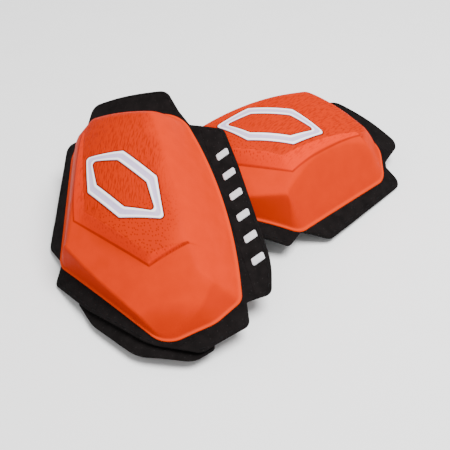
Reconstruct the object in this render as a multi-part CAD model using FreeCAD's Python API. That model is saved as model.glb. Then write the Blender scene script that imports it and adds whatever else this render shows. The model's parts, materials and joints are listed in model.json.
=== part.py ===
"""A mirrored pair of hook-and-loop knee sliders, one leaning on the other.

Each pad has its own frame: X across the knee towards the inner flap, Y up the thigh, Z out from the
knee, with the origin on the crest of the backing's upper face. The two pads are then set down in the row
frame, Z up, with the origin under the middle of the pair, on the surface that the pads stand on. All
lengths are in millimetres.
"""
import FreeCAD, Part
import math
import os

from FreeCAD import Placement, Rotation, Vector

os.makedirs("parts", exist_ok=True)

# ---- Driving dimensions --------------------------------------------------------------------------
BASE_RADIUS = 136.0      # knee-side curve, about the pad's long axis
CARRIER = 1.3            # thickness of the fabric backing
HOOK = 1.6               # thickness of the hook tape
TAPE_INSET = 0.8         # the hook tape stops this far inside the fabric's edge
UNDER_LAYER = 1.5        # thickness of the second layer under the lower end
LAYER_GAP = 0.05         # clearance between bonded layers
PLATE = 2.2              # thickness of the stiff plate that closes the puck
SHELL_WALL = 4.5         # wall of the moulded puck
HINGE_GAP = 2.2          # width of the bare fabric fold at the root of each flap
CREST_HEIGHT = 33.0      # plateau's highest point above the backing
CREST_X = 3.0            # where the plateau's crest lies across the pad
CREST_Y = 17.5           # and up the pad
CROWN_ACROSS = 95.0      # plateau's radius across the pad
CROWN_ALONG = 175.0      # plateau's radius along the pad
EMBLEM_DEPTH = 1.6       # recess in the plateau
EMBLEM_PROUD = 0.5       # how far the inlay stands out of it
EMBLEM_BAND = 6.5        # width of the inlay's band
EMBLEM_ROUNDING = 2.0    # radius of its corners
THREAD = 0.8             # width of a stitch
STITCH = 3.2             # length of a stitch
STITCH_HEIGHT = 0.4      # how far a stitch stands off the fabric
STITCH_PITCH = 6.0       # from one stitch to the next
STITCH_INSET = 1.8       # from the fabric's edge to the seam
SEAM_CLEARANCE = 1.6     # from the puck's foot to the nearest stitch
EMBROIDERY = 0.8         # thickness of the raised satin stitch
FAR = 400.0              # larger than anything here

# Puck outline: corners as (x, y, corner radius), anticlockwise from the left.
PUCK_CORNERS = [
    (-58.5, -24.5, 13.0),
    (21.0, -80.5, 16.0),
    (47.0, -64.5, 25.0),
    (60.0, -48.5, 9.0),
    (50.6, 14.0, 280.0),
    (14.0, 76.0, 24.0),
    (-50.0, 82.0, 16.0),
    (-68.0, 62.0, 14.0),
]

# Fabric outline with its flaps, anticlockwise from the notch between the outer flap and the lower edge.
CARRIER_CORNERS = [
    (-57.5, -22.0, 1.5),
    (-59.5, -36.5, 4.5),
    (-30.0, -57.5, 60.0),
    (12.0, -79.5, 40.0),
    (40.5, -82.2, 8.0),
    (64.7, -62.2, 6.0),
    (62.0, -48.5, 1.5),
    (75.0, -40.5, 7.0),
    (74.0, -20.0, 60.0),
    (51.5, 42.0, 120.0),
    (41.0, 67.5, 5.0),
    (19.5, 69.0, 3.0),
    (11.0, 80.0, 3.0),
    (1.0, 97.0, 9.0),
    (-56.5, 97.5, 7.0),
    (-59.5, 76.0, 2.0),
    (-62.5, 72.5, 1.0),
    (-76.0, 72.5, 5.0),
    (-72.0, -8.0, 9.0),
]

# Second layer that shows beyond the carrier at the lower end.
UNDER_LAYER_CORNERS = [
    (-44.0, -46.0, 4.0),
    (-27.0, -66.0, 30.0),
    (4.0, -85.5, 26.0),
    (36.0, -86.5, 14.0),
    (47.0, -78.0, 3.0),
    (40.0, -60.0, 6.0),
    (0.0, -45.0, 8.0),
]

# Hinge line of each flap: two points on the fold, with the flap on the right of the way from the first
# to the second.
HINGES = {
    "top": [(10.5, 80.5), (-59.0, 85.0)],
    "outer": [(-63.6, 72.0), (-60.9, -17.0)],
    "lower": [(29.6, -80.3), (63.1, -50.3)],
    "inner": [(67.6, -44.0), (27.0, 67.0)],
}

# Foot of the chevron step, from its top left end round to where it dies out on the right.
STEP_FOOT = [(-46.5, 56.0), (-38.5, -9.5), (12.0, -39.3), (34.5, -27.0)]

# Lower facets as z = a + b x + c y.
FACET_LEFT = (29.8, 0.207, 0.344)
FACET_RIGHT = (34.4, -0.08, 0.375)
FACET_TOE = (57.4, -0.087, 0.73)

# Side walls of the puck: a point on the foot of each wall, its outward direction in plan and its slope,
# both in degrees.
WALLS = [
    ((-63.5, 20.0, -14.5), 186.3, 62.0),
    ((-18.0, -53.0, 1.0), 234.8, 70.0),
    ((41.5, -67.5, -4.0), 309.0, 62.0),
    ((56.0, -20.0, -8.0), 8.2, 64.0),
    ((32.3, 45.0, -2.0), 30.3, 62.0),
    ((-16.0, 78.5, 0.0), 84.6, 62.0),
    ((-58.0, 71.0, -12.0), 137.0, 62.0),
]

# Generic inlay: a stretched hexagon across the plateau, set at an angle.
EMBLEM_CENTRE = (-6.6, 7.2)
EMBLEM_TURN = -39.0
EMBLEM_HALF_LENGTH = 36.0
EMBLEM_HALF_WIDTH = 16.0
EMBLEM_SHOULDER = 15.0
EMBLEM_SHOULDER_SHIFT = 0.3  # how far the shoulders move out for each millimetre of offset

# Generic motif on the inner flap: slanted bars in a row.
BAR_COUNT = 6
BAR_PITCH = 14.5
BAR_LENGTH = 8.2
BAR_WIDTH = 4.6
BAR_OFFSET = 7.3
BAR_SLANT = 28.0
BAR_ROUNDING = 0.8

# Where each pad stands: (turn about Z, lean about X, roll about Y, then the place of the pad's origin).
REAR_PLACE = (-40.8, 0.0, 0.0, (33.7, 34.9, 26.0))
FRONT_PLACE = (-4.8, 19.5, 11.2, (-33.7, -34.9, 37.8))


# ---- Geometry helpers ----------------------------------------------------------------------------
def rounded_wire(corners):
    """A closed wire through straight runs and tangent arcs, from (x, y, radius) corners."""
    count = len(corners)
    starts, middles, ends = [], [], []
    for i in range(count):
        here = Vector(corners[i][0], corners[i][1], 0)
        before = Vector(corners[i - 1][0], corners[i - 1][1], 0) - here
        after = Vector(corners[(i + 1) % count][0], corners[(i + 1) % count][1], 0) - here
        before.normalize()
        after.normalize()
        half = 0.5 * before.getAngle(after)
        radius = corners[i][2]
        reach = radius / math.tan(half)
        bisector = before + after
        bisector.normalize()
        starts.append(here + before * reach)
        ends.append(here + after * reach)
        middles.append(here + bisector * (radius / math.sin(half) - radius))
    edges = []
    for i in range(count):
        edges.append(Part.Arc(starts[i], middles[i], ends[i]).toShape())
        run = starts[(i + 1) % count] - ends[i]
        if run.Length > 1e-4:
            edges.append(Part.LineSegment(ends[i], starts[(i + 1) % count]).toShape())
    return Part.Wire(edges)


def prism(wire, low=-FAR / 4, high=FAR / 4):
    """The wire's face, extruded from one height to another."""
    face = Part.Face(wire)
    face.translate(Vector(0, 0, low))
    return face.extrude(Vector(0, 0, high - low))


def beyond(point, normal):
    """A big block that fills the space on the side of the plane that the normal points to."""
    block = Part.makeBox(2 * FAR, 2 * FAR, FAR, Vector(-FAR, -FAR, 0))
    block.Placement = Placement(point, Rotation(Vector(0, 0, 1), normal))
    return block


def base_cylinder(depth):
    """Everything below the curve that lies this far under the backing's upper face."""
    radius = BASE_RADIUS - depth
    return Part.makeCylinder(radius, 2 * FAR, Vector(0, -FAR, -BASE_RADIUS), Vector(0, 1, 0))


def sheet(wire, depth, thickness):
    """A curved sheet with this outline, its upper face this far under the backing's upper face."""
    return prism(wire).common(base_cylinder(depth)).cut(base_cylinder(depth + thickness))


def surface_point(x, y, depth=0.0):
    """The point of the base curve above or below (x, y)."""
    radius = BASE_RADIUS - depth
    return Vector(x, y, math.sqrt(radius * radius - x * x) - BASE_RADIUS)


def plane_normal(facet):
    """Upward normal of z = a + b x + c y."""
    normal = Vector(-facet[1], -facet[2], 1)
    normal.normalize()
    return normal


def largest_solid(shape):
    """The one solid a boolean should leave, without slivers."""
    return max(shape.Solids, key=lambda solid: solid.Volume)


# ---- Puck ----------------------------------------------------------------------------------------
def crown(inset):
    """Barrel whose top is the plateau's crowned surface, moved inwards."""
    along = CROWN_ALONG - inset
    top = CREST_HEIGHT - inset
    half = 150.0
    drop = along - math.sqrt(along * along - half * half)
    ends = [Vector(0, CREST_Y - half, top - drop), Vector(0, CREST_Y + half, top - drop)]
    middle = Vector(0, CREST_Y, top)
    axis_z = CREST_HEIGHT - CROWN_ACROSS
    feet = [Vector(0, CREST_Y + half, axis_z), Vector(0, CREST_Y - half, axis_z)]
    profile = Part.Wire([
        Part.Arc(ends[0], middle, ends[1]).toShape(),
        Part.LineSegment(ends[1], feet[0]).toShape(),
        Part.LineSegment(feet[0], feet[1]).toShape(),
        Part.LineSegment(feet[1], ends[0]).toShape(),
    ])
    barrel = Part.Face(profile).revolve(Vector(0, 0, axis_z), Vector(0, 1, 0), 360)
    barrel.translate(Vector(CREST_X, 0, 0))
    return barrel


def step_region(inset):
    """The part of the plan that lies outside the foot of the chevron step, grown by the inset."""
    reach = 0.5 * FAR
    around = [(reach, STEP_FOOT[-1][1]), (reach, -reach), (-reach, -reach), (-reach, STEP_FOOT[0][1])]
    ring = [Vector(x, y, 0) for x, y in STEP_FOOT + around + STEP_FOOT[:1]]
    outline = Part.makePolygon(ring)
    if inset > 0:
        outline = outline.makeOffset2D(inset)
    return prism(outline)


def puck_body(inset, floor_depth):
    """The puck's outer form moved inwards by inset, standing on the base curve raised by -floor_depth."""
    outline = rounded_wire(PUCK_CORNERS)
    if inset > 0:
        outline = outline.makeOffset2D(-inset)
    body = prism(outline).cut(base_cylinder(floor_depth))
    body = body.common(crown(inset))
    for foot, heading, slope in WALLS:
        turn = math.radians(heading)
        lean = math.radians(slope)
        normal = Vector(math.cos(turn) * math.sin(lean), math.sin(turn) * math.sin(lean), math.cos(lean))
        body = body.cut(beyond(Vector(*foot) - normal * inset, normal))
    region = step_region(inset)
    for facet in (FACET_LEFT, FACET_RIGHT, FACET_TOE):
        normal = plane_normal(facet)
        on_plane = Vector(0, 0, facet[0]) - normal * inset
        body = body.cut(beyond(on_plane, normal).common(region))
    return largest_solid(body)


def emblem_wire(offset):
    """The inlay's hexagon, grown outwards by offset."""
    length = EMBLEM_HALF_LENGTH + offset
    width = EMBLEM_HALF_WIDTH + offset
    shoulder = EMBLEM_SHOULDER + EMBLEM_SHOULDER_SHIFT * offset
    lower = [(-length, 0), (-shoulder, -width), (shoulder, -width)]
    upper = [(length, 0), (shoulder, width), (-shoulder, width)]
    wire = rounded_wire([(x, y, EMBLEM_ROUNDING) for x, y in lower + upper])
    wire.rotate(Vector(0, 0, 0), Vector(0, 0, 1), EMBLEM_TURN)
    wire.translate(Vector(EMBLEM_CENTRE[0], EMBLEM_CENTRE[1], 0))
    return wire


def emblem_band(clearance):
    """A hexagonal ring of the inlay's width, over the puck's whole height."""
    outer = prism(emblem_wire(clearance), 0.0)
    return outer.cut(prism(emblem_wire(-EMBLEM_BAND - clearance), 0.0))


def puck_shell():
    body = puck_body(0.0, 0.0)
    body = body.cut(puck_body(SHELL_WALL, 0.0))
    recess = emblem_band(LAYER_GAP).cut(crown(EMBLEM_DEPTH))
    return largest_solid(body.cut(recess))


def emblem_inlay():
    return largest_solid(emblem_band(0.0).common(crown(-EMBLEM_PROUD)).cut(crown(EMBLEM_DEPTH - LAYER_GAP)))


def base_plate():
    outline = rounded_wire(PUCK_CORNERS).makeOffset2D(-SHELL_WALL - LAYER_GAP)
    plate = prism(outline).cut(base_cylinder(0.0)).common(base_cylinder(-PLATE))
    return largest_solid(plate.common(puck_body(SHELL_WALL + LAYER_GAP, 0.0)))


def foam_core():
    return puck_body(SHELL_WALL + LAYER_GAP, -PLATE - LAYER_GAP)


# ---- Fabric --------------------------------------------------------------------------------------
def hinge_direction(name):
    (x0, y0), (x1, y1) = HINGES[name]
    run = Vector(x1 - x0, y1 - y0, 0)
    run.normalize()
    return run


def flap_side(name, offset):
    """Everything in plan on the flap's side of its hinge line, moved outwards by offset."""
    run = hinge_direction(name)
    outward = Vector(run.y, -run.x, 0)
    start = Vector(HINGES[name][0][0], HINGES[name][0][1], 0)
    return beyond(start + outward * offset, outward)


def hinge_axis(name):
    """A point mid-way through the fold's thickness and its bow over the base curve, and the axis direction."""
    middle_depth = 0.5 * (CARRIER + HOOK)
    start, end = [surface_point(x, y, middle_depth) for x, y in HINGES[name]]
    chord_middle = (start + end) * 0.5
    crest = surface_point(chord_middle.x, chord_middle.y, middle_depth)
    axis = end - start
    axis.normalize()
    return (chord_middle + crest) * 0.5, axis


def core_layer(wire, depth, thickness):
    layer = sheet(wire, depth, thickness)
    for name in HINGES:
        layer = layer.cut(flap_side(name, -0.5 * HINGE_GAP))
    return largest_solid(layer)


def flap_layer(name, wire, depth, thickness):
    return largest_solid(sheet(wire, depth, thickness).common(flap_side(name, 0.5 * HINGE_GAP)))


def stitch(x, y, heading):
    """One stitch lying on the fabric, along the heading in plan."""
    lift = surface_point(x, y, -LAYER_GAP)
    block = Part.makeBox(STITCH, THREAD, STITCH_HEIGHT, Vector(-0.5 * STITCH, -0.5 * THREAD, 0))
    lean = math.degrees(math.asin(x / BASE_RADIUS))
    tilted = Rotation(Vector(0, 1, 0), lean)
    block.Placement = Placement(lift, tilted.multiply(Rotation(Vector(0, 0, 1), heading)))
    return block


def seam(name=None):
    """The stitches of one flap, or of the backing's own edge when no flap is named, as separate solids."""
    line = rounded_wire(CARRIER_CORNERS).makeOffset2D(-STITCH_INSET)
    count = int(line.Length / STITCH_PITCH)
    points = line.discretize(Number=count + 1)
    puck = Part.Face(rounded_wire(PUCK_CORNERS).makeOffset2D(SEAM_CLEARANCE))
    stitches = []
    for here, there in zip(points[:-1], points[1:]):
        run = there - here
        sides = {flap: outward_distance(flap, here) for flap in HINGES}
        flap = max(sides, key=sides.get)
        clear = HINGE_GAP + 0.5 * STITCH
        owner = flap if sides[flap] > clear else None
        between = abs(sides[flap]) <= clear
        if between or owner != name or puck.isInside(here, 0.01, True):
            continue
        stitches.append(stitch(here.x, here.y, math.degrees(math.atan2(run.y, run.x))))
    return Part.Compound(stitches)


def outward_distance(name, point):
    run = hinge_direction(name)
    start = Vector(HINGES[name][0][0], HINGES[name][0][1], 0)
    return (point - start).dot(Vector(run.y, -run.x, 0))


def inner_embroidery():
    """Slanted satin-stitched bars in a row along the inner flap."""
    run = hinge_direction("inner")
    outward = Vector(run.y, -run.x, 0)
    heading = math.degrees(math.atan2(run.y, run.x))
    start, end = [Vector(x, y, 0) for x, y in HINGES["inner"]]
    middle = (start + end) * 0.5 + outward * BAR_OFFSET
    bars = []
    for i in range(BAR_COUNT):
        spot = middle + run * ((i - 0.5 * (BAR_COUNT - 1)) * BAR_PITCH)
        foot = [(-0.5 * BAR_WIDTH, -0.5 * BAR_LENGTH), (0.5 * BAR_WIDTH, -0.5 * BAR_LENGTH)]
        plan = foot + [(x, -y) for x, y in reversed(foot)]
        shear = math.tan(math.radians(BAR_SLANT))
        wire = rounded_wire([(x + shear * y, y, BAR_ROUNDING) for x, y in plan])
        wire.rotate(Vector(0, 0, 0), Vector(0, 0, 1), heading)
        wire.translate(spot)
        bars.append(largest_solid(sheet(wire, -EMBROIDERY - LAYER_GAP, EMBROIDERY)))
    return Part.Compound(bars)


def pad_pieces():
    """Every piece of one pad, in the pad's own frame."""
    fabric = rounded_wire(CARRIER_CORNERS)
    tape = fabric.makeOffset2D(-TAPE_INSET)
    carrier_depth = LAYER_GAP
    tape_depth = carrier_depth + CARRIER + LAYER_GAP
    under_depth = tape_depth + HOOK + LAYER_GAP
    pieces = {
        "puck_shell": puck_shell(),
        "emblem_inlay": emblem_inlay(),
        "foam_core": foam_core(),
        "base_plate": base_plate(),
        "backing_core": core_layer(fabric, carrier_depth, CARRIER),
        "hook_core": core_layer(tape, tape_depth, HOOK),
        "under_layer": largest_solid(sheet(rounded_wire(UNDER_LAYER_CORNERS), under_depth, UNDER_LAYER)),
        "core_stitching": seam(),
        "inner_embroidery": inner_embroidery(),
    }
    for name in HINGES:
        pieces[name + "_flap"] = flap_layer(name, fabric, carrier_depth, CARRIER)
        pieces[name + "_hook"] = flap_layer(name, tape, tape_depth, HOOK)
        pieces[name + "_stitching"] = seam(name)
    return pieces


# ---- The pair ------------------------------------------------------------------------------------
def pad_placement(place):
    turn, lean, roll, (x, y, z) = place
    rotation = Rotation(Vector(0, 0, 1), turn)
    rotation = rotation.multiply(Rotation(Vector(1, 0, 0), lean))
    rotation = rotation.multiply(Rotation(Vector(0, 1, 0), -roll))
    return Placement(Vector(x, y, z), rotation)


def placed(shape, place, mirrored):
    moved = shape.mirror(Vector(0, 0, 0), Vector(1, 0, 0)) if mirrored else shape.copy()
    moved.Placement = pad_placement(place).multiply(moved.Placement)
    return moved


def build():
    """All pieces of both pads, by node name, and the move that brought them to the row frame's origin."""
    nodes = {}
    for name, shape in pad_pieces().items():
        nodes["front_" + name] = placed(shape, FRONT_PLACE, mirrored=False)
        nodes["rear_" + name] = placed(shape, REAR_PLACE, mirrored=True)
    around = FreeCAD.BoundBox()
    for shape in nodes.values():
        around.add(shape.optimalBoundingBox(False))
    shift = Vector(-around.Center.x, -around.Center.y, -around.ZMin)
    for shape in nodes.values():
        shape.translate(shift)
    return nodes, shift


if __name__ == "__main__":
    for node, solid in build()[0].items():
        solid.exportStep("parts/" + node + ".step")
        print(node, "solids", len(solid.Solids), "volume", round(solid.Volume, 1))
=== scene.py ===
"""Looks for a mirrored pair of knee sliders: moulded pucks on curved hook-and-loop backings.

Each pad is modelled once in its own frame, in millimetres: X across the knee towards the inner flap,
Y up the thigh, Z out from the knee, with the origin on the crest of the backing's upper face. The
frame's knee-face mounts and top folds say where that frame lies in the row, and the rear pad is the
mirror image of the front one.
"""
import json
import math

import bpy
import numpy as np
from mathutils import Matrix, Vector
from mathutils.geometry import delaunay_2d_cdt


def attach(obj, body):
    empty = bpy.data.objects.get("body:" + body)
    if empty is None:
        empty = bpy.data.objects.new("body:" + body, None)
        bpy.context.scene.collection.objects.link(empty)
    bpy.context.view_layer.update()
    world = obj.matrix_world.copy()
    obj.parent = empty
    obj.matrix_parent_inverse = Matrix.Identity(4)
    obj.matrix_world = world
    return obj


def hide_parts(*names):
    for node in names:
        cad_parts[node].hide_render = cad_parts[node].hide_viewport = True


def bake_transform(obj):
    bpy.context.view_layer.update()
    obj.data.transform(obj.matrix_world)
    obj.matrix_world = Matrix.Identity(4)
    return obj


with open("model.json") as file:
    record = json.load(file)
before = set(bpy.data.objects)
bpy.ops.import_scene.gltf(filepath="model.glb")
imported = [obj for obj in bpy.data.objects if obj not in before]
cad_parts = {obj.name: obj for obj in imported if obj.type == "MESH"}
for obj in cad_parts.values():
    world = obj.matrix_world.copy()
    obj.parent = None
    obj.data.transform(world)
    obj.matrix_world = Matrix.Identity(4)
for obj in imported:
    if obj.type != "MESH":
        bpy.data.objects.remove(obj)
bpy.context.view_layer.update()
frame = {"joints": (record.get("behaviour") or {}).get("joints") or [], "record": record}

MM = 0.001

# ---- Dimensions shared with the CAD model, in millimetres -----------------------------------------
BASE_RADIUS = 136.0
CARRIER = 1.3
HOOK = 1.6
UNDER_LAYER = 1.5
LAYER_GAP = 0.05
HALF_FOLD = 1.1
CREST_HEIGHT, CREST_X, CREST_Y = 33.0, 3.0, 17.5
CROWN_ACROSS, CROWN_ALONG = 95.0, 175.0

PUCK_CORNERS = [(-58.5, -24.5, 13), (21, -80.5, 16), (47, -64.5, 25), (60, -48.5, 9), (50.6, 14, 280),
                (14, 76, 24), (-50, 82, 16), (-68, 62, 14)]
CARRIER_CORNERS = [(-57.5, -22, 1.5), (-59.5, -36.5, 4.5), (-30, -57.5, 60), (12, -79.5, 40),
                   (40.5, -82.2, 8), (64.7, -62.2, 6), (62, -48.5, 1.5), (75, -40.5, 7), (74, -20, 60),
                   (51.5, 42, 120), (41, 67.5, 5), (19.5, 69, 3), (11, 80, 3), (1, 97, 9),
                   (-56.5, 97.5, 7), (-59.5, 76, 2), (-62.5, 72.5, 1), (-76, 72.5, 5), (-72, -8, 9)]
UNDER_CORNERS = [(-44, -46, 4), (-27, -66, 30), (4, -85.5, 26), (36, -86.5, 14), (47, -78, 3),
                 (40, -60, 6), (0, -45, 8)]
HINGES = {
    "top": [(10.5, 80.5), (-59.0, 85.0)],
    "outer": [(-63.6, 72.0), (-60.9, -17.0)],
    "lower": [(29.6, -80.3), (63.1, -50.3)],
    "inner": [(67.6, -44.0), (27.0, 67.0)],
}
STEP_FOOT = [(-46.5, 56.0), (-38.5, -9.5), (12.0, -39.3), (34.5, -27.0)]
FACET_LEFT = (29.8, 0.207, 0.344)
FACET_RIGHT = (34.4, -0.08, 0.375)
FACET_TOE = (57.4, -0.087, 0.73)
EMBLEM_CENTRE, EMBLEM_TURN = (-6.6, 7.2), -39.0
EMBLEM_LENGTH, EMBLEM_WIDTH, EMBLEM_SHOULDER, EMBLEM_BAND = 36.0, 16.0, 15.0, 6.5
EMBLEM_ROUNDING, EMBLEM_SHOULDER_SHIFT = 2.0, 0.3
BAR_COUNT, BAR_PITCH, BAR_LENGTH, BAR_WIDTH = 6, 14.5, 8.2, 4.6
BAR_OFFSET, BAR_SLANT, BAR_ROUNDING = 7.3, 28.0, 0.8
STITCH, STITCH_PITCH, STITCH_INSET, THREAD = 3.2, 6.0, 1.8, 0.8
SHELL_WALL, PLATE, TAPE_INSET = 4.5, 2.2, 0.8

# ---- Finer shape that only the looks have ---------------------------------------------------------
STEP_TOP = [(-44.0, 56.0), (-28.5, -8.0), (14.0, -34.8), (34.5, -27.0)]
# The side walls by their outward heading in degrees: slope in degrees, how softly the wall meets the
# top in millimetres, and how much painted shade darkens its colour.
WALL_SLOPES = [(8, 64), (30, 62), (85, 62), (137, 62), (186, 62), (234, 70), (309, 62)]
WALL_SOFTNESS = [(8, 13), (30, 13), (85, 10), (137, 7), (186, 5), (234, 3), (309, 4)]
WALL_PAINTED_SHADE = [(8, 0), (85, 0), (186, 0.5), (234, 1), (309, 0.7)]
PLATEAU_SOFTNESS, FACET_SOFTNESS, TOE_SOFTNESS = 4.0, 6.0, 2.4
LIP_HEIGHT, LIP_WIDTH = 1.1, 1.3
INLAY_GROOVE = 0.8
TEXTURE_EDGE = [(2.0, 67.0), (20.0, 31.0), (32.0, -14.0)]   # smooth skin begins here
PUCK_MIDDLE = np.array([-3.0, -4.0])
FILLING_GAP = 0.3

# ---- Mesh density ---------------------------------------------------------------------------------
CHUNK = 4000                            # points worked on at once
PUCK_STEP, FILLING_STEP = 0.58, 1.7     # spacing of points round the rim
OUTER_SHARE = 0.34                      # this much of the way in from the rim has the closer rings
OUTER_RINGS, INNER_RINGS = 52, 66
CAVITY_RINGS, FILLING_RINGS = 14, 16


# ---- Plane geometry -------------------------------------------------------------------------------
def rounded_outline(corners, step=1.0):
    """Points about a step apart along straight runs and tangent arcs, from (x, y, radius) corners."""
    points = []
    count = len(corners)
    for i in range(count):
        here = np.array(corners[i][:2], float)
        before = np.array(corners[i - 1][:2], float) - here
        after = np.array(corners[(i + 1) % count][:2], float) - here
        before /= np.linalg.norm(before)
        after /= np.linalg.norm(after)
        half = 0.5 * math.acos(np.clip(before @ after, -1, 1))
        radius = corners[i][2]
        start = here + before * radius / math.tan(half)
        end = here + after * radius / math.tan(half)
        bisector = (before + after) / np.linalg.norm(before + after)
        centre = here + bisector * radius / math.sin(half)
        first, last = start - centre, end - centre
        sweep = math.atan2(first[0] * last[1] - first[1] * last[0], first @ last)
        pieces = max(2, int(math.ceil(abs(sweep) * radius / step)))
        for k in range(pieces + 1):
            angle = sweep * k / pieces
            spoke = (first[0] * math.cos(angle) - first[1] * math.sin(angle),
                     first[0] * math.sin(angle) + first[1] * math.cos(angle))
            points.append(centre + spoke)
    return spaced(np.array(points), step=step)


def spaced(loop, count=None, step=1.0):
    """Points evenly spaced round the closed loop: this many, or about a step apart."""
    closed = np.vstack([loop, loop[:1]])
    lengths = np.concatenate([[0], np.cumsum(np.linalg.norm(np.diff(closed, axis=0), axis=1))])
    count = count or int(round(lengths[-1] / step))
    wanted = np.linspace(0, lengths[-1], count, endpoint=False)
    return np.column_stack([np.interp(wanted, lengths, closed[:, k]) for k in (0, 1)])


def normals_of(loop):
    """Outward normals of an anticlockwise loop."""
    run = np.roll(loop, -1, axis=0) - np.roll(loop, 1, axis=0)
    run /= np.linalg.norm(run, axis=1)[:, None]
    return np.column_stack([run[:, 1], -run[:, 0]])


def distance_to(loop, points, closed=True):
    """Distance of each point to the line."""
    ends = np.roll(loop, -1, axis=0) if closed else loop[1:]
    starts = loop if closed else loop[:-1]
    run = ends - starts
    length2 = (run * run).sum(axis=1)
    best = np.empty(len(points))
    for first in range(0, len(points), CHUNK):
        chunk = points[first:first + CHUNK]
        offset = chunk[:, None, :] - starts[None, :, :]
        along = np.clip((offset * run).sum(axis=2) / length2, 0, 1)
        gap = offset - along[:, :, None] * run
        best[first:first + CHUNK] = np.sqrt((gap * gap).sum(axis=2)).min(axis=1)
    return best


def inside(loop, points):
    """Which points lie inside the loop."""
    result = np.zeros(len(points), bool)
    x, y = points[:, 0], points[:, 1]
    for (x0, y0), (x1, y1) in zip(loop, np.roll(loop, -1, axis=0)):
        crosses = (y0 > y) != (y1 > y)
        if y0 != y1:
            result ^= crosses & (x < (x1 - x0) * (y - y0) / (y1 - y0) + x0)
    return result


def turned(points, degrees, centre):
    angle = math.radians(degrees)
    rotation = np.array([[math.cos(angle), math.sin(angle)], [-math.sin(angle), math.cos(angle)]])
    return np.asarray(points, float) @ rotation + centre


def smooth_min(a, b, width):
    """The lower of two heights, with the edge between them rounded over about this width."""
    overlap = np.clip(width - np.abs(a - b), 0, None) / width
    return np.minimum(a, b) - overlap * overlap * width * 0.25


def around(table, heading):
    """Value at a heading, between the entries of a (heading, value) table that runs round the circle."""
    angles = np.array([row[0] for row in table], float)
    values = np.array([row[1] for row in table], float)
    angles = np.concatenate([angles[-1:] - 360, angles, angles[:1] + 360])
    values = np.concatenate([values[-1:], values, values[:1]])
    return np.interp(heading % 360, angles, values)


def value_noise(x, y, seed):
    """Smooth noise from -1 to 1, with one cell per unit."""
    def corner(i, j):
        wave = np.sin(i * 127.1 + j * 311.7 + seed * 74.7) * 43758.5453
        return 2 * (wave - np.floor(wave)) - 1
    i, j = np.floor(x), np.floor(y)
    u, v = x - i, y - j
    u, v = u * u * (3 - 2 * u), v * v * (3 - 2 * v)
    low = corner(i, j) * (1 - u) + corner(i + 1, j) * u
    high = corner(i, j + 1) * (1 - u) + corner(i + 1, j + 1) * u
    return low * (1 - v) + high * v


def base_height(x, depth=0.0):
    """Height of the base curve, this far under the backing's upper face."""
    radius = BASE_RADIUS - depth
    return np.sqrt(radius * radius - x * x) - BASE_RADIUS


# ---- The two pads' places, from the frame ---------------------------------------------------------
def unit(vector):
    return vector / np.linalg.norm(vector)


def triad(up, along):
    """Three square axes as columns, from an up direction and one that leans near the second."""
    second = unit(along - (along @ up) * up)
    return np.column_stack([up, second, np.cross(up, second)])


class Pad:
    """Where one pad's own frame lies in the row."""

    def __init__(self, side, mirrored):
        self.side = side
        self.mirrored = mirrored
        self.core = side + "_core"
        mount = next(m for m in frame["record"]["mounts"] if m["name"] == side + "_knee_face")
        joint = next(j for j in frame["joints"] if j["name"] == side + "_top_fold")
        up = -np.array(mount["axis"], float)
        depth = 0.5 * (CARRIER + HOOK)
        (x0, y0), (x1, y1) = HINGES["top"]
        fold = np.array([x0 - x1, y0 - y1, base_height(x0, depth) - base_height(x1, depth)])
        if mirrored:
            fold = fold * (1, -1, -1)
        local = triad(np.array([0.0, 0.0, 1.0]), unit(fold))
        self.turn = triad(unit(up), np.array(joint["axis"], float)) @ local.T
        self.origin = np.array(mount["pos_m"]) + up * (CARRIER + HOOK + 2 * LAYER_GAP) * MM

    def place(self, points):
        """Points of the pad's own frame, in millimetres, as points of the row frame, in metres."""
        points = np.array(points, float)
        if self.mirrored:
            points = points * (-1, 1, 1)
        return points @ self.turn.T * MM + self.origin

    def body(self, flap):
        """The body that carries a flap: its own if it folds, or else the core, as also for no flap."""
        own = "%s_%s_flap" % (self.side, flap)
        return own if own in FOLDING else self.core


FOLDING = {joint["child"] for joint in frame["joints"]}
PADS = [Pad("front", False), Pad("rear", True)]


# ---- Making pieces --------------------------------------------------------------------------------
class Form:
    """A mesh in the pad's own frame: points in millimetres, faces, and values stored on its points."""

    def __init__(self, points, faces, values=None):
        self.points = np.asarray(points, float)
        self.faces = faces
        self.values = values or {}


def join(forms):
    points, faces, values, start = [], [], {}, 0
    for form in forms:
        points.append(form.points)
        faces += [tuple(i + start for i in face) for face in form.faces]
        for name, data in form.values.items():
            values.setdefault(name, []).append(data)
        start += len(form.points)
    return Form(np.vstack(points), faces, {name: np.concatenate(data) for name, data in values.items()})


def piece(pad, name, form, material, nodes, flap=None):
    """The form as an object of one pad, in place of these CAD nodes. It rides on the core, unless a flap
    is named, when attaching it is left to the caller."""
    mesh = bpy.data.meshes.new(pad.side + "_" + name)
    faces = [tuple(reversed(face)) for face in form.faces] if pad.mirrored else form.faces
    mesh.from_pydata(pad.place(form.points).tolist(), [], faces)
    mesh.polygons.foreach_set("use_smooth", np.ones(len(mesh.polygons), bool))
    local = mesh.attributes.new("pad", "FLOAT_VECTOR", "POINT")
    local.data.foreach_set("vector", form.points.astype(np.float32).ravel())
    for key, data in form.values.items():
        mesh.attributes.new(key, "FLOAT", "POINT").data.foreach_set("value", np.asarray(data, np.float32))
    mesh.materials.append(material)
    mesh.update()
    made = bpy.data.objects.new(mesh.name, mesh)
    bpy.context.collection.objects.link(made)
    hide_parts(*[pad.side + "_" + node for node in nodes])
    if flap is None:
        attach(made, pad.core)
    return made


def ring_faces(first, second, count):
    """Quads between two closed rings of points that start at these indices."""
    following = [(i + 1) % count for i in range(count)]
    return [(first + i, first + j, second + j, second + i) for i, j in enumerate(following)]


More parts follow.
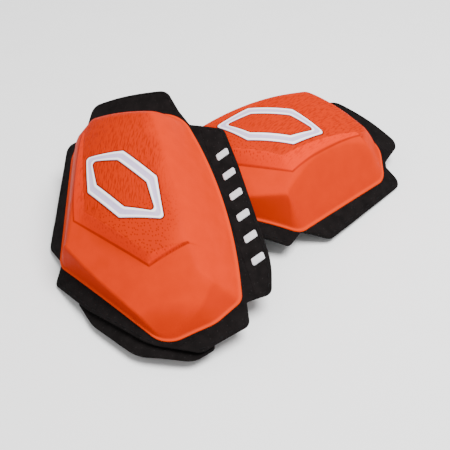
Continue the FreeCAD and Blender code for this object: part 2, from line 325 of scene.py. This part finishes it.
# ---- Puck -----------------------------------------------------------------------------------------
def crown_height(x, y):
    radius = CROWN_ACROSS - CROWN_ALONG + np.sqrt(CROWN_ALONG ** 2 - (y - CREST_Y) ** 2)
    return CREST_HEIGHT - CROWN_ACROSS + np.sqrt(np.clip(radius ** 2 - (x - CREST_X) ** 2, 1, None))


def facet_height(x, y):
    left = FACET_LEFT[0] + FACET_LEFT[1] * x + FACET_LEFT[2] * y
    right = FACET_RIGHT[0] + FACET_RIGHT[1] * x + FACET_RIGHT[2] * y
    return smooth_min(smooth_min(left, right, FACET_SOFTNESS), toe_height(x, y), TOE_SOFTNESS)


def toe_height(x, y):
    return FACET_TOE[0] + FACET_TOE[1] * x + FACET_TOE[2] * y


def step_share(points):
    """0 below the chevron step, 1 on the plateau, and between them up the riser."""
    far = 400.0
    sweep = [(far, STEP_FOOT[-1][1]), (far, far), (-far, far), (-far, STEP_FOOT[0][1])]
    above_foot = inside(np.array(STEP_FOOT + sweep, float), points)
    above_top = inside(np.array(STEP_TOP + sweep, float), points)
    to_foot = distance_to(np.array(STEP_FOOT, float), points, closed=False)
    to_top = distance_to(np.array(STEP_TOP, float), points, closed=False)
    share = to_foot / (to_foot + to_top + 1e-6)
    return np.where(above_top, 1.0, np.where(above_foot, share, 0.0)), to_foot


def emblem_outline(offset, step=0.5):
    length, width = EMBLEM_LENGTH + offset, EMBLEM_WIDTH + offset
    shoulder = EMBLEM_SHOULDER + EMBLEM_SHOULDER_SHIFT * offset
    plan = [(-length, 0), (-shoulder, -width), (shoulder, -width), (length, 0), (shoulder, width),
            (-shoulder, width)]
    loop = rounded_outline([(x, y, EMBLEM_ROUNDING) for x, y in plan], step)
    return turned(loop, EMBLEM_TURN, EMBLEM_CENTRE)


def band_distance(points):
    """Distance to the inlay's band: below zero inside the band."""
    outer, inner = emblem_outline(0.0), emblem_outline(-EMBLEM_BAND)
    to_outer = distance_to(outer, points)
    to_inner = distance_to(inner, points)
    in_band = inside(outer, points) & ~inside(inner, points)
    return np.where(in_band, -1, 1) * np.minimum(to_outer, to_inner)


def wall_height(points, outline, outline_normals):
    """Height of the side walls, the lowest of the slopes from the rim, with their softness and painted
    shade.
    """
    heading = np.degrees(np.arctan2(outline_normals[:, 1], outline_normals[:, 0]))
    slope = np.tan(np.radians(around(WALL_SLOPES, heading)))
    traits = np.column_stack([around(WALL_SOFTNESS, heading), around(WALL_PAINTED_SHADE, heading)])
    foot = base_height(outline[:, 0]) + LIP_HEIGHT
    height, blended = np.empty(len(points)), np.empty((len(points), 2))
    for first in range(0, len(points), CHUNK):
        chunk = slice(first, first + CHUNK)
        gap = np.linalg.norm(points[chunk, None, :] - outline, axis=2)
        rise = foot + np.clip(gap - LIP_WIDTH, 0, None) * slope
        height[chunk] = rise.min(axis=1)
        weight = np.exp((height[chunk, None] - rise) / 2.0)
        blended[chunk] = weight @ traits / weight.sum(axis=1)[:, None]
    return height, blended[:, 0], blended[:, 1]


def puck_height(points, outline, outline_normals):
    """Height of the puck's skin, how far each point is on the plateau, and values for its material."""
    x, y = points[:, 0], points[:, 1]
    to_rim = distance_to(outline, points)
    wall, softness, wall_shade = wall_height(points, outline[::2], outline_normals[::2])
    plateau = crown_height(x, y)
    lower = smooth_min(plateau, facet_height(x, y), PLATEAU_SOFTNESS)
    share, to_foot = step_share(points)
    top = lower + (plateau - lower) * share
    height = smooth_min(top, wall, softness)
    level = np.clip((wall - top) / 4, 0, 1)
    toe = np.clip((facet_height(x, y) - toe_height(x, y)) / TOE_SOFTNESS + 1, 0, 1) * (1 - share)
    # Painted shade: the side walls, by heading, and the toe bevel get a darker colour that stands in for
    # the shade they fall in.
    side = np.maximum(np.clip((top - wall) / 2 + 0.5, 0, 1) * wall_shade, 0.8 * toe)
    band = band_distance(points)
    height = height - INLAY_GROOVE * np.clip((-band - 0.5) / 0.5, 0, 1)
    # The riser mask lifts the riser's colour: painted light against the shade it falls in.
    riser = np.where((share > 0.001) & (share < 0.999), 1.0, 0.0)
    height = np.maximum(height, base_height(x) + LIP_HEIGHT)
    # The distance to the step's foot darkens the colour along it: painted shade in the inside corner.
    values = dict(rim=to_rim, band=band, riser=riser * level, step_foot_shade=to_foot, side=side)
    return height, share * level, values


def texture_masks(points):
    """Where the plateau is textured, and where its streaks give way to pips."""
    x, y = points[:, 0], points[:, 1]
    edge = np.array(TEXTURE_EDGE, float)
    limit = np.interp(y, edge[::-1, 1], edge[::-1, 0])
    wander = 4 * value_noise(x / 14, y / 14, 3)
    textured = np.clip((limit + wander - x) / 9, 0, 1)
    low = np.clip((12 - y + 0.35 * x + 5 * value_noise(x / 10, y / 10, 5)) / 30, 0, 1)
    return textured, low


def puck_form():
    """The puck's skin as rings that shrink from rim to middle, and the wall's inner face under it."""
    outline = rounded_outline(PUCK_CORNERS, PUCK_STEP)
    outward = normals_of(outline)
    count = len(outline)
    rim = [(SHELL_WALL, LAYER_GAP), (0.0, LAYER_GAP), (0.0, 0.55), (0.08, 0.82), (0.25, 1.0),
           (0.5, LIP_HEIGHT), (0.9, LIP_HEIGHT)]
    rings = []
    for inset, lift in rim:
        plan = outline - outward * inset
        rings.append(np.column_stack([plan, base_height(plan[:, 0]) + lift]))
    start = outline - outward * LIP_WIDTH
    shares = np.concatenate([np.linspace(0, OUTER_SHARE, OUTER_RINGS, endpoint=False),
                             np.linspace(OUTER_SHARE, 1, INNER_RINGS, endpoint=False)])
    plan = np.vstack([start + (PUCK_MIDDLE - start) * share for share in shares] + [PUCK_MIDDLE[None, :]])
    height, on_plateau, values = puck_height(plan, outline, outward)
    textured, low = texture_masks(plan)
    values.update(textured=textured * on_plateau, pips=low)
    under = cavity(outline, outward, SHELL_WALL, CAVITY_RINGS)
    points = np.vstack(rings + [np.column_stack([plan, height]), under])
    faces = cone_faces(0, len(rim) + len(shares), count)
    below = (len(rim) + len(shares)) * count + 1
    faces += [tuple(reversed(face)) for face in ring_faces(0, below, count)]
    faces += [tuple(reversed(face)) for face in cone_faces(below, CAVITY_RINGS, count)]
    for key, data in values.items():
        quiet = 50.0 if key in ("band", "step_foot_shade") else 0.0
        values[key] = np.concatenate([np.full(len(rim) * count, quiet), data, np.full(len(under), quiet)])
    return Form(points, faces, values)


def cone_faces(first, rings, count):
    """Faces of a stack of rings that starts at this index and ends in one point."""
    faces = []
    for k in range(rings - 1):
        faces += ring_faces(first + k * count, first + (k + 1) * count, count)
    last = first + (rings - 1) * count
    return faces + [(last + i, last + (i + 1) % count, first + rings * count) for i in range(count)]


def cavity(outline, outward, inset, rings, top=None):
    """Rings of points over the inside of the puck, this far in from its skin, or at a fixed height."""
    start = outline - outward * inset
    shares = np.linspace(0, 1, rings, endpoint=False)
    plan = np.vstack([start + (PUCK_MIDDLE - start) * share for share in shares] + [PUCK_MIDDLE[None, :]])
    floor = base_height(plan[:, 0])
    if top is not None:
        return np.column_stack([plan, floor + top])
    height = puck_height(plan, outline, outward)[0]
    return np.column_stack([plan, np.maximum(height - 1.1 * inset, floor + PLATE + 3 * LAYER_GAP)])


def filling_form(low, top=None):
    """What fills the puck, from this height over the base curve up to its wall or to a fixed height."""
    outline = rounded_outline(PUCK_CORNERS, FILLING_STEP)
    outward = normals_of(outline)
    count, inset = len(outline), SHELL_WALL + FILLING_GAP
    upper = cavity(outline, outward, inset, FILLING_RINGS, top)
    lower = cavity(outline, outward, inset, FILLING_RINGS, low)
    faces = cone_faces(0, FILLING_RINGS, count)
    faces += [tuple(reversed(face)) for face in cone_faces(len(upper), FILLING_RINGS, count)]
    faces += [tuple(reversed(face)) for face in ring_faces(0, len(upper), count)]
    return Form(np.vstack([upper, lower]), faces)


def inlay_form():
    """The inlay: a hexagonal band with raised borders, sunk into the plateau."""
    profile = [(0.0, -0.7), (0.0, 0.12), (0.03, 0.3), (0.09, 0.4), (0.19, 0.4), (0.24, 0.3), (0.3, 0.2),
               (0.5, 0.18), (0.7, 0.2), (0.76, 0.3), (0.81, 0.4), (0.91, 0.4), (0.97, 0.3), (1.0, 0.12),
               (1.0, -0.7)]
    outer = emblem_outline(0.0, 0.4)
    count = len(outer)
    inner = spaced(emblem_outline(-EMBLEM_BAND, 0.4), count=count)
    points, border = [], []
    for share, lift in profile:
        plan = outer + (inner - outer) * share
        points.append(np.column_stack([plan, crown_height(plan[:, 0], plan[:, 1]) + lift]))
        border.append(np.full(count, np.clip((lift - 0.2) / 0.15, 0, 1)))
    faces = []
    for k in range(len(profile)):
        faces += ring_faces(k * count, (k + 1) % len(profile) * count, count)
    return Form(np.vstack(points), faces, {"border": np.concatenate(border)})


# ---- Fabric ---------------------------------------------------------------------------------------
def hinge_frame(name):
    """Start of the fold line in plan, its direction, the way out to the flap, and its length."""
    start, end = [np.array(p, float) for p in HINGES[name]]
    length = np.linalg.norm(end - start)
    run = (end - start) / length
    return start, run, np.array([run[1], -run[0]]), length


def clip(loop, point, normal):
    """The part of the loop behind the line through the point, as a loop."""
    kept = []
    side = (loop - point) @ normal
    for i in range(len(loop)):
        j = (i + 1) % len(loop)
        if side[i] <= 0:
            kept.append(loop[i])
        if (side[i] < 0 < side[j]) or (side[j] < 0 < side[i]):
            kept.append(loop[i] + (loop[j] - loop[i]) * side[i] / (side[i] - side[j]))
    return np.array(kept)


def core_plan(outline):
    for name in HINGES:
        start, _, out, _ = hinge_frame(name)
        outline = clip(outline, start - out * HALF_FOLD, out)
    return outline


def flap_plan(name, outline):
    start, run, out, length = hinge_frame(name)
    outline = clip(outline, start + run * (length + 3), run)
    outline = clip(outline, start - run * 3, -run)
    return clip(outline, start - out * HALF_FOLD, -out)


def denser(loop, step):
    """The loop with no gap between points longer than the step."""
    points = []
    for a, b in zip(loop, np.roll(loop, -1, axis=0)):
        pieces = max(1, int(math.ceil(np.linalg.norm(b - a) / step - 1e-6)))
        points += [a + (b - a) * k / pieces for k in range(pieces)]
    return np.array(points)


def cloth_form(plan, edge, depth, thickness, sway, folds=(), spacing=2.2):
    """A layer of cloth over the plan, with rounded edges where the plan follows the cloth's own edge."""
    loop = denser(plan, 1.0)
    keep = np.linalg.norm(loop - np.roll(loop, -1, axis=0), axis=1) > 0.05
    loop = loop[keep]
    low, high = loop.min(axis=0), loop.max(axis=0)
    across, along = np.arange(low[0], high[0], spacing), np.arange(low[1], high[1], spacing)
    extra = [np.stack(np.meshgrid(across, along), axis=-1).reshape(-1, 2)]
    outward = normals_of(edge)
    for inset in (0.1, 0.3, 0.6, 1.1):
        extra.append(edge - outward * inset)
    for name in folds:
        start, run, out, length = hinge_frame(name)
        rows = np.arange(-4, length + 4, 1.2)[:, None] * run + start
        for offset in (-0.7, -0.25, 0.25, 0.7, HALF_FOLD, 1.8):
            extra.append(rows + out * offset)
    extra = np.vstack(extra)
    extra = extra[inside(loop, extra)]
    to_loop = distance_to(loop, extra)
    extra = extra[to_loop > 0.08]
    extra = thinned(extra, 0.09)
    points = np.vstack([loop, extra])
    count = len(loop)
    edges = [(i, (i + 1) % count) for i in range(count)]
    flat, _, triangles, _, _, _ = delaunay_2d_cdt([Vector(p) for p in points], edges, [], 1, 1e-5)
    flat = np.array([tuple(p) for p in flat])
    triangles = [tuple(t) for t in triangles]
    to_edge = distance_to(edge, flat)
    half = 0.5 * thickness
    rounding = min(half, 0.8)
    bulge = half * np.sqrt(1 - (1 - np.clip(to_edge, 0, rounding) / rounding) ** 2)
    wave = sway(flat)
    middle = depth + half
    upper = np.column_stack([flat, base_height(flat[:, 0], middle - bulge) + wave])
    lower = np.column_stack([flat, base_height(flat[:, 0], middle + bulge) + wave])
    shift = len(flat)
    shared = to_edge < 1e-3
    under = np.where(shared, np.arange(shift), np.arange(shift) + shift)
    faces = list(triangles)
    faces += [(under[c], under[b], under[a]) for a, b, c in triangles]
    walled = [(a, b) for a, b in open_edges(triangles) if not (shared[a] and shared[b])]
    faces += [(b, a, under[a], under[b]) for a, b in walled]
    faces = [tidy_face(face) for face in faces]
    return without_loose(Form(np.vstack([upper, lower]), [face for face in faces if len(face) > 2]))


def tidy_face(face):
    kept = []
    for index in face:
        if int(index) not in kept:
            kept.append(int(index))
    return tuple(kept)


def open_edges(triangles):
    """Directed edges that only one triangle has."""
    directed = {(t[i], t[(i + 1) % 3]) for t in triangles for i in range(3)}
    return [(a, b) for a, b in directed if (b, a) not in directed]


def thinned(points, gap):
    """The points without those that share a small cell with an earlier one."""
    cells = np.round(points / gap).astype(int)
    _, first = np.unique(cells, axis=0, return_index=True)
    return points[np.sort(first)]


def without_loose(form):
    used = np.zeros(len(form.points), bool)
    for face in form.faces:
        used[list(face)] = True
    new = np.cumsum(used) - 1
    return Form(form.points[used], [tuple(int(new[i]) for i in face) for face in form.faces])


def cloth_sway(points):
    """The backing's slight unevenness outside the puck."""
    x, y = points[:, 0], points[:, 1]
    outline = rounded_outline(PUCK_CORNERS, 3.0)
    away = distance_to(outline, points)
    free = np.where(inside(outline, points), 0, np.clip((away - 2) / 10, 0, 1))
    return free * (0.28 * value_noise(x / 17, y / 17, 11) + 0.12 * value_noise(x / 6, y / 6, 12))


def under_sway(points):
    """The looser layer's folds."""
    x, y = points[:, 0], points[:, 1]
    along = 0.9 * x + 0.45 * y
    return 0.3 * np.sin(along / 5.2) * np.clip((-y - 62) / 12, 0, 1) - 0.3


# ---- Stitches and embroidery ----------------------------------------------------------------------
def outward_distance(name, point):
    start, _, out, _ = hinge_frame(name)
    return (point - start) @ out


def stitch_form(point, heading):
    """One thread pass: a slim capsule half sunk in the fabric."""
    rows, sides = 7, 8
    points = []
    for k in range(rows):
        along = -0.5 * STITCH + STITCH * k / (rows - 1)
        share = 2 * k / (rows - 1) - 1
        radius = 0.5 * THREAD * math.sqrt(max(0.04, 1 - share ** 4)) * 0.62
        lift = 0.18 * (1 - share * share)
        for s in range(sides):
            angle = 2 * math.pi * s / sides
            across = radius * math.cos(angle)
            x = point[0] + along * math.cos(heading) - across * math.sin(heading)
            y = point[1] + along * math.sin(heading) + across * math.cos(heading)
            points.append((x, y, base_height(x) + lift + radius * math.sin(angle)))
    faces = []
    for k in range(rows - 1):
        faces += [tuple(reversed(face)) for face in ring_faces(k * sides, (k + 1) * sides, sides)]
    faces.append(tuple(range(sides)))
    faces.append(tuple(reversed(range((rows - 1) * sides, rows * sides))))
    return Form(points, [tuple(reversed(face)) for face in faces])


def seam_form(flap=None):
    """The stitches of one flap, or of the backing's own edge when no flap is named."""
    edge = rounded_outline(CARRIER_CORNERS, 0.5)
    line = spaced(edge - normals_of(edge) * STITCH_INSET, step=STITCH_PITCH)
    puck = rounded_outline(PUCK_CORNERS, 1.0)
    to_puck = distance_to(puck, line)
    under_puck = inside(puck, line) | (to_puck < STITCH_INSET)
    stitches = []
    for i, here in enumerate(line):
        run = line[(i + 1) % len(line)] - line[i - 1]
        sides = {name: outward_distance(name, here) for name in HINGES}
        nearest = max(sides, key=sides.get)
        clear = 2 * HALF_FOLD + 0.5 * STITCH
        owner = nearest if sides[nearest] > clear else None
        if owner != flap or abs(sides[nearest]) <= clear or under_puck[i]:
            continue
        stitches.append(stitch_form(here, math.atan2(run[1], run[0])))
    return join(stitches)


def bar_form(index):
    """One slanted bar of satin stitch, crowned, with its threads across it."""
    start, run, out, length = hinge_frame("inner")
    spot = start + run * (0.5 * length + (index - 0.5 * (BAR_COUNT - 1)) * BAR_PITCH) + out * BAR_OFFSET
    shear = math.tan(math.radians(BAR_SLANT))
    half_width, half_length = 0.5 * BAR_WIDTH, 0.5 * BAR_LENGTH
    corners = [(-half_width, -half_length), (half_width, -half_length), (half_width, half_length),
               (-half_width, half_length)]
    loop = rounded_outline([(x + shear * y, y, BAR_ROUNDING) for x, y in corners], 0.3)
    count = len(loop)
    rings, lifts = [], []
    for share, lift in [(1.0, -0.2), (1.0, 0.15), (0.96, 0.4), (0.86, 0.58), (0.66, 0.68), (0.4, 0.72),
                        (0.15, 0.73)]:
        rings.append(loop * share)
        lifts.append(np.full(count, lift))
    local = np.vstack(rings + [np.zeros((1, 2))])
    lift = np.concatenate(lifts + [[0.73]])
    plan = spot + local[:, :1] * run + local[:, 1:] * out
    points = np.column_stack([plan, base_height(plan[:, 0]) + lift])
    faces = []
    for k in range(len(rings) - 1):
        faces += [tuple(reversed(face)) for face in ring_faces(k * count, (k + 1) * count, count)]
    last = (len(rings) - 1) * count
    faces += [(last + (i + 1) % count, last + i, last + count) for i in range(count)]
    faces.append(tuple(range(count)))
    return Form(points, faces, {"across": local[:, 0], "along": local[:, 1]})


# ---- Materials ------------------------------------------------------------------------------------
class Finish:
    """A procedural material built round one Principled shader."""

    def __init__(self, name, roughness=0.5, specular=0.5, sheen=0.0):
        self.material = bpy.data.materials.new(name)
        self.material.use_nodes = True
        self.tree = self.material.node_tree
        self.shader = self.tree.nodes["Principled BSDF"]
        self.shader.inputs["Roughness"].default_value = roughness
        self.shader.inputs["Specular IOR Level"].default_value = specular
        self.shader.inputs["Sheen Weight"].default_value = sheen

    def node(self, kind, inputs=None, **settings):
        made = self.tree.nodes.new(kind)
        for key, value in settings.items():
            setattr(made, key, value)
        for key, value in (inputs or {}).items():
            self.feed(made.inputs[key], value)
        return made

    def feed(self, socket, value):
        if isinstance(value, bpy.types.NodeSocket):
            self.tree.links.new(value, socket)
        else:
            socket.default_value = value

    def stored(self, name, output="Fac"):
        return self.node("ShaderNodeAttribute", attribute_name=name).outputs[output]

    def math(self, operation, a, b=0.0, clamp=False):
        return self.node("ShaderNodeMath", {0: a, 1: b}, operation=operation, use_clamp=clamp).outputs[0]

    def ramp(self, value, low, high, start=0.0, end=1.0):
        """The value carried from low..high to start..end, without passing them."""
        inputs = {"Value": value, "From Min": low, "From Max": high, "To Min": start, "To Max": end}
        return self.node("ShaderNodeMapRange", inputs).outputs["Result"]

    def scaled(self, vector, scale):
        inputs = {"Vector": vector, "Scale": scale}
        return self.node("ShaderNodeMapping", inputs).outputs["Vector"]

    def noise(self, vector, scale, detail=3.0):
        inputs = {"Vector": vector, "Scale": scale, "Detail": detail}
        return self.node("ShaderNodeTexNoise", inputs).outputs["Fac"]

    def cells(self, vector, randomness=0.8):
        inputs = {"Vector": vector, "Scale": 1.0, "Randomness": randomness}
        return self.node("ShaderNodeTexVoronoi", inputs, voronoi_dimensions="2D").outputs

    def blend(self, share, a, b):
        made = self.node("ShaderNodeMix", data_type="RGBA")
        for index, value in ((0, share), (6, a), (7, b)):
            self.feed(made.inputs[index], value)
        return made.outputs[2]

    def colour(self, value):
        self.feed(self.shader.inputs["Base Color"], value)

    def relief(self, height, distance, strength=1.0):
        """Bump, with the height's unit as this many millimetres."""
        inputs = {"Height": height, "Distance": distance * MM, "Strength": strength}
        self.feed(self.shader.inputs["Normal"], self.node("ShaderNodeBump", inputs).outputs["Normal"])


def moulded_orange():
    """Moulded urethane: ground streaks and pips on the plateau and smooth facets, with painted shade and
    highlights, and a riser painted brighter against the shade it falls in.
    """
    f = Finish("moulded_orange", roughness=0.5, specular=0.008)
    pad = f.stored("pad", "Vector")
    textured, pips = f.stored("textured"), f.stored("pips")
    grind = f.noise(f.scaled(pad, (1.0, 0.2, 0.0)), 1.0, 2.0)
    round_cells = f.cells(f.scaled(pad, (0.5, 0.42, 0.0)), 0.85)["Distance"]
    streak = f.math("MULTIPLY", f.ramp(grind, 0.48, 0.64), f.ramp(pips, 0.75, 0.35))
    pip = f.math("MULTIPLY", f.ramp(round_cells, 0.24, 0.12), f.ramp(pips, 0.3, 0.6))
    marks = f.math("MULTIPLY", f.math("MAXIMUM", streak, pip), textured)
    mottle = f.noise(pad, 0.11, 4.0)
    base = f.blend(f.ramp(mottle, 0.3, 0.7), (0.52, 0.024, 0.0, 1), (0.57, 0.027, 0.0001, 1))
    # The textured plateau is painted darker: partly the ground finish's own tone, partly a painted sheen
    # that leaves the smooth skin lighter.
    base = f.blend(f.math("MULTIPLY", textured, 0.8), base, (0.43, 0.018, 0.0, 1))
    # The riser painted brighter: painted light against its shade.
    base = f.blend(f.math("MULTIPLY", f.stored("riser"), 0.85), base, (0.7, 0.027, 0.0001, 1))
    # The streaks and pips are painted darker: painted shade in their grooves.
    base = f.blend(f.math("MULTIPLY", marks, 0.4), base, (0.2, 0.006, 0.0002, 1))
    # Painted shade on the side walls and the toe bevel.
    base = f.blend(f.math("MULTIPLY", f.stored("side"), 0.6), base, (0.3, 0.012, 0.0002, 1))
    # Painted shade along the foot of the chevron step.
    step_foot_shade = f.ramp(f.stored("step_foot_shade"), 0.2, 0.9, 1.0, 0.0)
    base = f.blend(f.math("MULTIPLY", step_foot_shade, 0.6), base, (0.17, 0.004, 0.0004, 1))
    # Painted highlight along the lip by the rim.
    lip_highlight = f.ramp(f.stored("rim"), 1.2, 1.9, 1.0, 0.0)
    base = f.blend(f.math("MULTIPLY", lip_highlight, 0.5), base, (0.6, 0.045, 0.004, 1))
    # Painted shade in the groove round the inlay.
    gap = f.ramp(f.math("ABSOLUTE", f.stored("band")), 0.3, 1.1, 1.0, 0.0)
    base = f.blend(f.math("MULTIPLY", gap, 0.9), base, (0.06, 0.004, 0.0015, 1))
    f.colour(base)
    grain = f.noise(pad, 1.6, 2.0)
    height = f.math("ADD", f.math("MULTIPLY", marks, -0.16), f.math("MULTIPLY", grain, 0.03))
    f.relief(height, 1.0)
    f.feed(f.shader.inputs["Roughness"], f.ramp(f.noise(pad, 0.35, 3.0), 0.3, 0.7, 0.42, 0.52))
    return f.material


def pale_inlay():
    """The inlay: grey floor between white borders."""
    f = Finish("pale_inlay", roughness=0.4, specular=0.4)
    pad = f.stored("pad", "Vector")
    floor = f.blend(f.ramp(f.noise(pad, 0.5), 0.3, 0.7), (0.5, 0.42, 0.62, 1), (0.56, 0.47, 0.68, 1))
    f.colour(f.blend(f.stored("border"), floor, (0.93, 0.9, 0.94, 1)))
    f.relief(f.noise(pad, 2.5, 2.0), 0.02)
    return f.material


def black_fabric():
    """Black plain weave with a little lint."""
    f = Finish("black_fabric", roughness=0.9, specular=0.06)
    pad = f.stored("pad", "Vector")
    split = f.node("ShaderNodeSeparateXYZ", {"Vector": pad}).outputs
    across = f.math("SINE", f.math("MULTIPLY", split["X"], 9.0))
    along = f.math("SINE", f.math("MULTIPLY", split["Y"], 9.0))
    weave = f.math("MULTIPLY", across, along)
    shade = f.noise(pad, 0.16, 4.0)
    base = f.blend(f.ramp(shade, 0.3, 0.7), (0.0036, 0.0029, 0.0029, 1), (0.0075, 0.006, 0.006, 1))
    lint = f.ramp(f.cells(f.scaled(pad, (0.21, 0.21, 0.0)), 1.0)["Distance"], 0.05, 0.03)
    base = f.blend(f.math("MULTIPLY", lint, 0.12), base, (0.16, 0.15, 0.15, 1))
    f.colour(base)
    fuzz = f.math("MULTIPLY", f.noise(pad, 1.1), 0.25)
    f.relief(f.math("ADD", f.math("MULTIPLY", weave, 0.05), fuzz), 1.0, 0.8)
    return f.material


def hook_tape():
    """Hook tape: rows of tiny stiff hooks."""
    f = Finish("hook_tape", roughness=0.7, specular=0.12)
    pad = f.stored("pad", "Vector")
    hooks = f.cells(f.scaled(pad, (0.9, 0.75, 0.0)), 0.25)["Distance"]
    tips = f.ramp(hooks, 0.45, 0.15)
    f.colour(f.blend(tips, (0.0035, 0.0035, 0.004, 1), (0.014, 0.014, 0.015, 1)))
    f.relief(tips, 0.6)
    return f.material


def dark_thread():
    f = Finish("dark_thread", roughness=0.75, specular=0.08)
    pad = f.stored("pad", "Vector")
    twist = f.noise(f.scaled(pad, (3.0, 3.0, 3.0)), 1.0)
    f.colour(f.blend(twist, (0.003, 0.003, 0.0032, 1), (0.009, 0.0085, 0.009, 1)))
    f.relief(twist, 0.1)
    return f.material


def satin_thread():
    """Pale satin stitch: fine threads laid across each bar."""
    f = Finish("satin_thread", roughness=0.42, specular=0.5, sheen=0.2)
    along = f.stored("along")
    wobble = f.math("MULTIPLY", f.noise(f.stored("pad", "Vector"), 1.2), 1.5)
    threads = f.math("SINE", f.math("ADD", f.math("MULTIPLY", along, 15.0), wobble))
    # The stripes are painted light: pale crowns as painted highlights, grey troughs as painted shade
    # between the threads.
    f.colour(f.blend(f.ramp(threads, -1, 1), (0.42, 0.42, 0.45, 1), (0.86, 0.85, 0.88, 1)))
    f.relief(threads, 0.08)
    return f.material


def hidden_foam():
    f = Finish("hidden_foam", roughness=0.9, specular=0.2)
    position = f.node("ShaderNodeTexCoord").outputs["Object"]
    pores = f.cells(f.scaled(position, (900.0, 900.0, 900.0)), 1.0)["Distance"]
    f.colour(f.blend(pores, (0.02, 0.02, 0.022, 1), (0.07, 0.07, 0.075, 1)))
    f.relief(pores, 0.3)
    return f.material


def hidden_plate():
    f = Finish("hidden_plate", roughness=0.5, specular=0.4)
    position = f.node("ShaderNodeTexCoord").outputs["Object"]
    speckle = f.noise(position, 800.0, 3.0)
    f.colour(f.blend(speckle, (0.012, 0.012, 0.013, 1), (0.03, 0.03, 0.033, 1)))
    f.relief(speckle, 0.05)
    return f.material


def pale_floor():
    f = Finish("pale_floor", roughness=0.9, specular=0.1)
    position = f.node("ShaderNodeTexCoord").outputs["Object"]
    f.colour(f.blend(f.noise(position, 30.0), (0.9, 0.9, 0.9, 1), (0.93, 0.93, 0.93, 1)))
    return f.material


def fold_ends(pad, flap):
    """Row-frame points on the fold's two sides."""
    start, run, out, length = hinge_frame(flap)
    middle = start + run * 0.5 * length
    ends = []
    for offset in (-HALF_FOLD, HALF_FOLD):
        plan = middle + out * offset
        ends.append([plan[0], plan[1], base_height(plan[0], CARRIER)])
    return pad.place(np.array(ends))


def build_cloth(materials):
    """Backing and hook tape of both pads, in a core and four flaps, and the second layer under them."""
    edge = rounded_outline(CARRIER_CORNERS, 0.5)
    tape_edge = edge - normals_of(edge) * TAPE_INSET
    layers = [("backing", "flap", edge, LAYER_GAP, CARRIER, "black_fabric", "backing_fabric"),
              ("hook", "hook", tape_edge, 2 * LAYER_GAP + CARRIER, HOOK, "hook_tape", "hook_tape")]
    for core_name, flap_name, outline, depth, thickness, finish, slot in layers:
        plan = core_plan(outline)
        form = cloth_form(plan, outline, depth, thickness, cloth_sway, HINGES)
        for pad in PADS:
            made = piece(pad, core_name + "_middle", form, materials[finish], [core_name + "_core"])
        for flap in HINGES:
            plan = flap_plan(flap, outline)
            form = cloth_form(plan, outline, depth, thickness, cloth_sway, [flap], 1.6)
            for pad in PADS:
                nodes = [flap + "_" + flap_name]
                name = flap + "_" + flap_name + "_cloth"
                body = pad.body(flap)
                folds = body != pad.core
                made = piece(pad, name, form, materials[finish], nodes, flap if folds else None)
                if folds:
                    start, end = fold_ends(pad, flap)
                    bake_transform(made)
    under_edge = rounded_outline(UNDER_CORNERS, 0.5)
    depth = 3 * LAYER_GAP + CARRIER + HOOK
    form = cloth_form(under_edge, under_edge, depth, UNDER_LAYER, under_sway)
    for pad in PADS:
        made = piece(pad, "second_layer", form, materials["black_fabric"], ["under_layer"])


def build_pads(materials):
    puck, inlay = puck_form(), inlay_form()
    foam = filling_form(PLATE + 2 * LAYER_GAP)
    plate = filling_form(2 * LAYER_GAP, PLATE)
    bars = join([bar_form(index) for index in range(BAR_COUNT)])
    seams = {flap: seam_form(flap) for flap in [None, *HINGES]}
    for pad in PADS:
        piece(pad, "puck", puck, materials["moulded_orange"], ["puck_shell"])
        piece(pad, "inlay", inlay, materials["pale_inlay"], ["emblem_inlay"])
        satin = materials["satin_thread"]
        made = piece(pad, "satin_bars", bars, satin, ["inner_embroidery"], "inner")
        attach(made, pad.body("inner"))
        for flap, form in seams.items():
            name = flap or "core"
            thread, nodes = materials["dark_thread"], [name + "_stitching"]
            made = piece(pad, name + "_seam", form, thread, nodes, name)
            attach(made, pad.body(flap))
        piece(pad, "foam", foam, materials["hidden_foam"], ["foam_core"])
        piece(pad, "plate", plate, materials["hidden_plate"], ["base_plate"])


# ---- Stage ----------------------------------------------------------------------------------------
def area_light(name, place, aim, size, power):
    data = bpy.data.lights.new(name, "AREA")
    data.shape = "DISK"
    data.size = size
    data.energy = power
    made = bpy.data.objects.new(name, data)
    made.location = place
    made.rotation_euler = (Vector(aim) - Vector(place)).to_track_quat("-Z", "Y").to_euler()
    bpy.context.collection.objects.link(made)


def build_stage(material):
    half = 3.0
    mesh = bpy.data.meshes.new("floor")
    corners = [(-half, -half, 0), (half, -half, 0), (half, half, 0), (-half, half, 0)]
    mesh.from_pydata(corners, [], [(0, 1, 2, 3)])
    mesh.materials.append(material)
    floor = bpy.data.objects.new("floor", mesh)
    bpy.context.collection.objects.link(floor)
    world = bpy.data.worlds.new("studio")
    world.use_nodes = True
    world.node_tree.nodes["Background"].inputs["Color"].default_value = (1, 1, 1, 1)
    world.node_tree.nodes["Background"].inputs["Strength"].default_value = 0.75
    bpy.context.scene.world = world
    area_light("key", (0.34, -0.16, 1.15), (0, 0, 0), 0.7, 32)


def build_camera():
    """The camera stands in front of the pair and looks along +Y and down."""
    data = bpy.data.cameras.new("camera")
    data.sensor_width = 36.0
    data.lens = 61.2
    camera = bpy.data.objects.new("camera", data)
    camera.location = (-0.0055, -0.3722, 0.3531)
    camera.rotation_euler = (math.radians(90 - 43.22), 0, 0)
    bpy.context.collection.objects.link(camera)
    bpy.context.scene.camera = camera


FINISHES = [moulded_orange, pale_inlay, black_fabric, hook_tape, dark_thread, satin_thread, hidden_foam,
            hidden_plate]
finishes = {make.__name__: make() for make in FINISHES}
build_pads(finishes)
build_cloth(finishes)
build_stage(pale_floor())
build_camera()
